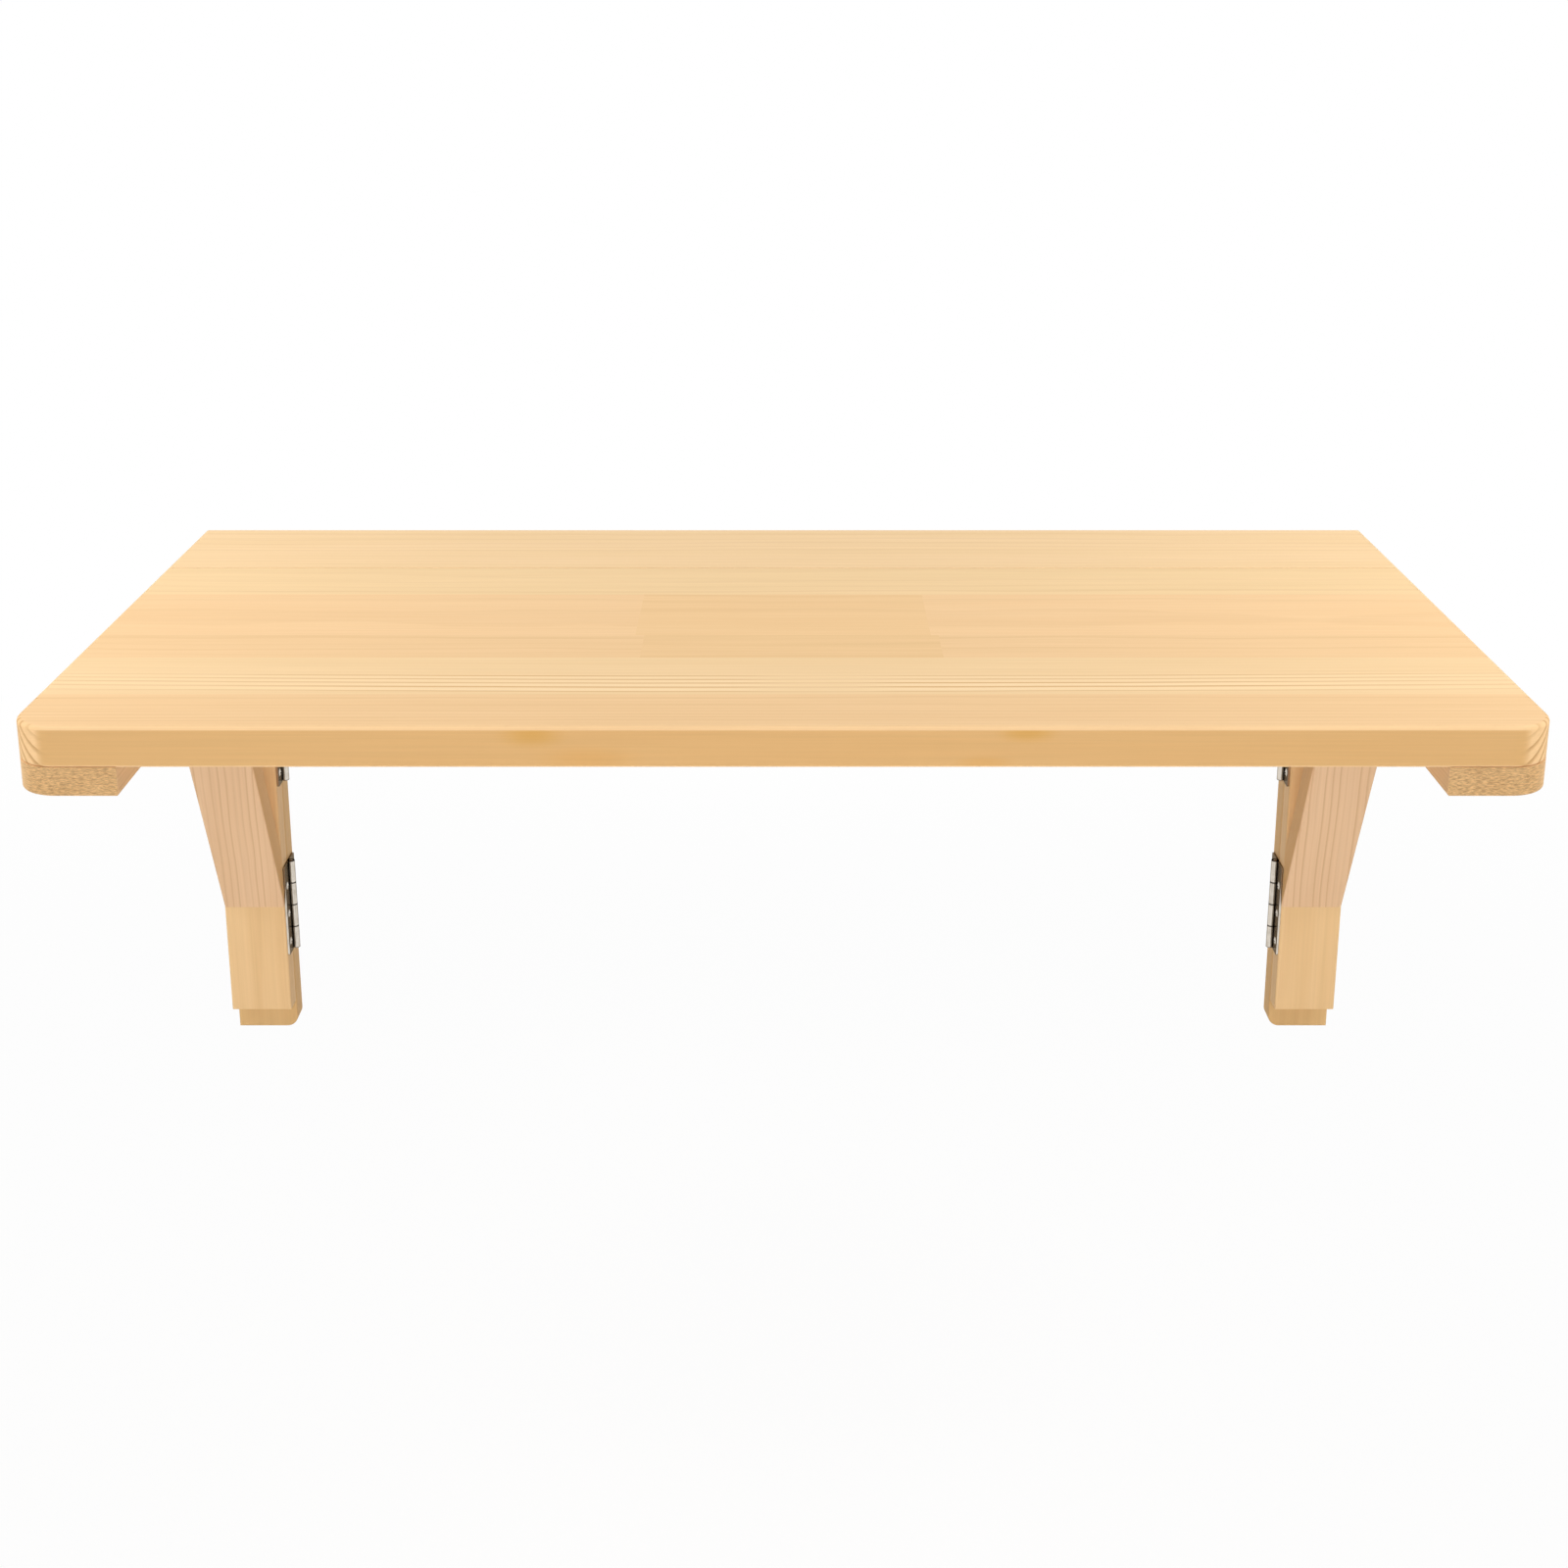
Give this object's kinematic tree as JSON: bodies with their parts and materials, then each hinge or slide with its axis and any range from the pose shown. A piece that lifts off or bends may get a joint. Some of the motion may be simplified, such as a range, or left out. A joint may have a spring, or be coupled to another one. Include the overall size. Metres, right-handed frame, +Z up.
{
  "type": "wall mounted drop leaf table",
  "caption": "Wall mounted pine table: a leaf hinged to a fixed wall strip, carried by swinging triangular brackets that fold in against the wall.",
  "frame": {"origin": "middle of the wall cleat's back face, on the wall plane", "axes": "+Y into the wall, +X along the wall to the right as seen from the room, +Z up"},
  "size_m": [0.9, 0.45, 0.417],
  "materials": {
    "pine_top": "clear satin lacquer",
    "pine_bar": "clear satin lacquer",
    "dowel_beech": "bare beech",
    "hinge_nickel": "nickel plated",
    "screw_steel": "nickel plated"
  },
  "bodies": {
    "wall_frame": {"bracket_hinge_left_lower_pin": "hinge_nickel", "bracket_hinge_left_lower_wall_plate": "hinge_nickel", "bracket_hinge_left_upper_pin": "hinge_nickel", "bracket_hinge_left_upper_wall_plate": "hinge_nickel", "bracket_hinge_left_wall_screws": "screw_steel", "bracket_hinge_right_lower_pin": "hinge_nickel", "bracket_hinge_right_lower_wall_plate": "hinge_nickel", "bracket_hinge_right_upper_pin": "hinge_nickel", "bracket_hinge_right_upper_wall_plate": "hinge_nickel", "bracket_hinge_right_wall_screws": "screw_steel", "cleat_screws": "screw_steel", "leaf_hinge_left_pin": "hinge_nickel", "leaf_hinge_left_strip_plate": "hinge_nickel", "leaf_hinge_middle_pin": "hinge_nickel", "leaf_hinge_middle_strip_plate": "hinge_nickel", "leaf_hinge_right_pin": "hinge_nickel", "leaf_hinge_right_strip_plate": "hinge_nickel", "leaf_hinge_strip_screws": "screw_steel", "post_dowels_left": "dowel_beech", "post_dowels_right": "dowel_beech", "strip_batten_left": "pine_bar", "strip_batten_right": "pine_bar", "strip_batten_screws": "screw_steel", "wall_cleat": "pine_bar", "wall_post_left": "pine_bar", "wall_post_right": "pine_bar", "wall_strip": "pine_top"},
    "leaf": {"leaf_batten_left": "pine_bar", "leaf_batten_right": "pine_bar", "leaf_batten_screws": "screw_steel", "leaf_hinge_leaf_screws": "screw_steel", "leaf_hinge_left_leaf_plate": "hinge_nickel", "leaf_hinge_middle_leaf_plate": "hinge_nickel", "leaf_hinge_right_leaf_plate": "hinge_nickel", "leaf_stave_1": "pine_top", "leaf_stave_2": "pine_top", "leaf_stave_3": "pine_top", "leaf_stave_4": "pine_top", "leaf_stave_5": "pine_top"},
    "left_bracket": {"bracket_arm_left": "pine_bar", "bracket_brace_left": "pine_bar", "bracket_hinge_left_lower_swing_plate": "hinge_nickel", "bracket_hinge_left_swing_screws": "screw_steel", "bracket_hinge_left_upper_swing_plate": "hinge_nickel", "bracket_post_left": "pine_bar", "bracket_screws_left": "screw_steel"},
    "right_bracket": {"bracket_arm_right": "pine_bar", "bracket_brace_right": "pine_bar", "bracket_hinge_right_lower_swing_plate": "hinge_nickel", "bracket_hinge_right_swing_screws": "screw_steel", "bracket_hinge_right_upper_swing_plate": "hinge_nickel", "bracket_post_right": "pine_bar", "bracket_screws_right": "screw_steel"}
  },
  "joints": [
    {"name": "leaf_hinge", "type": "hinge", "parent": "wall_frame", "child": "leaf", "pos_m": [0, -0.10925, 0.027], "axis": [-1, 0, 0], "range_deg": [0, 3]},
    {"name": "left_bracket_swing", "type": "hinge", "parent": "wall_frame", "child": "left_bracket", "pos_m": [-0.396, -0.0182, -0.185], "axis": [0, 0, 1], "range_deg": [0, 90]},
    {"name": "right_bracket_swing", "type": "hinge", "parent": "wall_frame", "child": "right_bracket", "pos_m": [0.396, -0.0182, -0.185], "axis": [0, 0, -1], "range_deg": [0, 90]}
  ]
}
